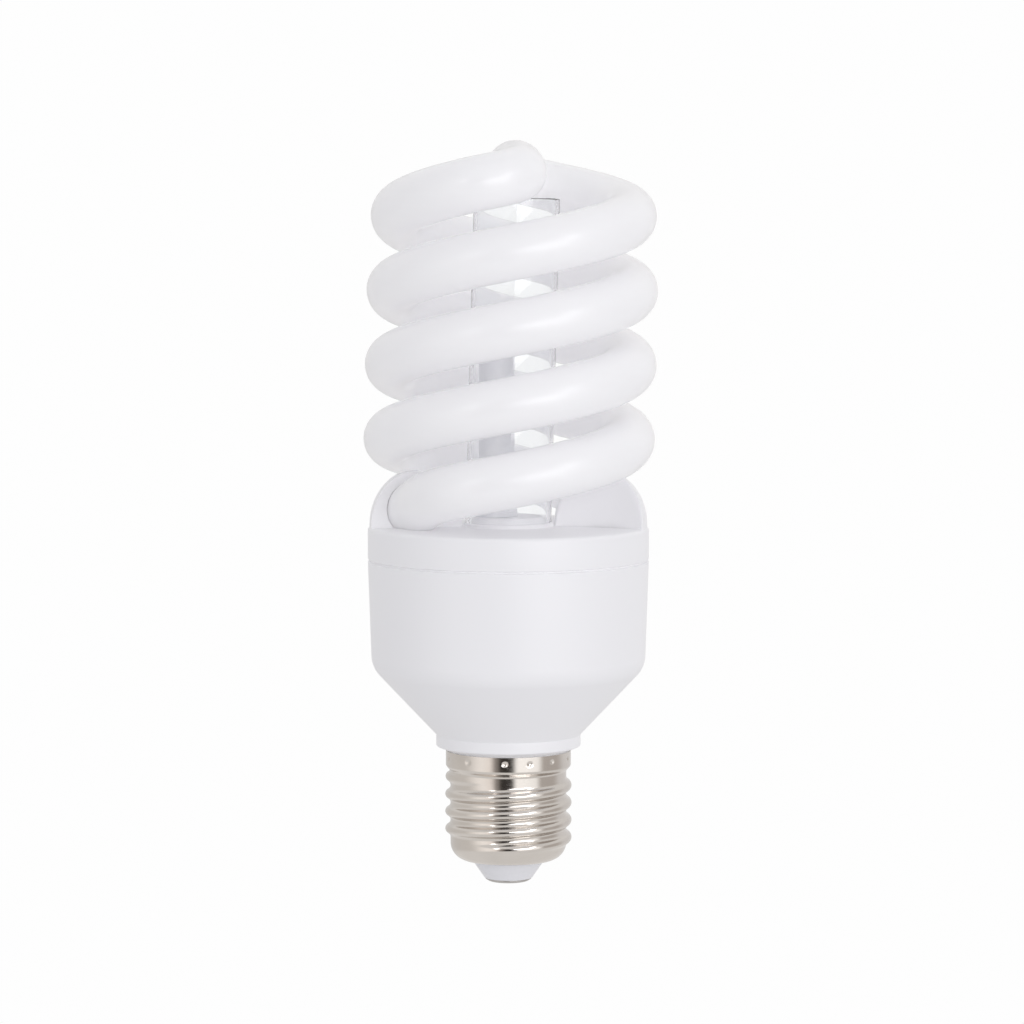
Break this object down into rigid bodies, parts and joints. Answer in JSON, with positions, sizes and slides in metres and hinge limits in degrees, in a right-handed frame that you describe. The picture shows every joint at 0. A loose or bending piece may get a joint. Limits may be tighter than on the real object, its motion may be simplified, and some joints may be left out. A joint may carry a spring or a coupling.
{
  "type": "spiral compact fluorescent lamp",
  "caption": "Energy saving lamp: white double-spiral discharge tube on a white ballast housing with a large Edison screw cap.",
  "frame": {"origin": "bottom of the centre contact, on the axis of cap and housing", "axes": "+Z along the axis from the cap to the top of the tube; +X to the right and +Y away from the eye in the pictured front view"},
  "size_m": [0.0607, 0.0602, 0.1541],
  "materials": {
    "contact_metal": "satin nickel-plated contact",
    "insulator": "smooth white insulator",
    "nickel": "bright nickel plate",
    "white_plastic": "fine satin moulding",
    "phosphor_glass": "glossy glass with a white coat inside",
    "clear_plastic": "clear, smooth",
    "frosted_plastic": "translucent",
    "cement": "set cement",
    "board": "phenolic board",
    "capacitor_sleeve": "shrunk sleeve",
    "ferrite": "sintered ferrite",
    "winding_tape": "taped winding",
    "moulded_black": "moulded package",
    "film_brown": "dipped coat",
    "thermistor_blue": "coated disc",
    "copper": "tinned copper"
  },
  "bodies": {
    "root": {"centre_contact": "contact_metal", "cap_insulator": "insulator", "cap_shell": "nickel", "ballast_housing": "white_plastic", "tube_cover": "white_plastic", "spiral_tube": "phosphor_glass", "support_sleeve": "clear_plastic", "centre_post": "frosted_plastic", "tube_cement_a": "cement", "tube_cement_b": "cement", "circuit_board": "board", "main_capacitor": "capacitor_sleeve", "choke_core": "ferrite", "choke_winding": "winding_tape", "drive_toroid": "ferrite", "transistor_a": "moulded_black", "transistor_b": "moulded_black", "resonant_capacitor": "film_brown", "film_capacitor": "film_brown", "filter_choke": "ferrite", "rectifier_diodes": "moulded_black", "start_thermistor": "thermistor_blue", "fuse_resistor": "film_brown", "live_wire": "copper", "neutral_wire": "copper", "filament_leads": "copper", "wire_pins": "copper"}
  },
  "joints": []
}
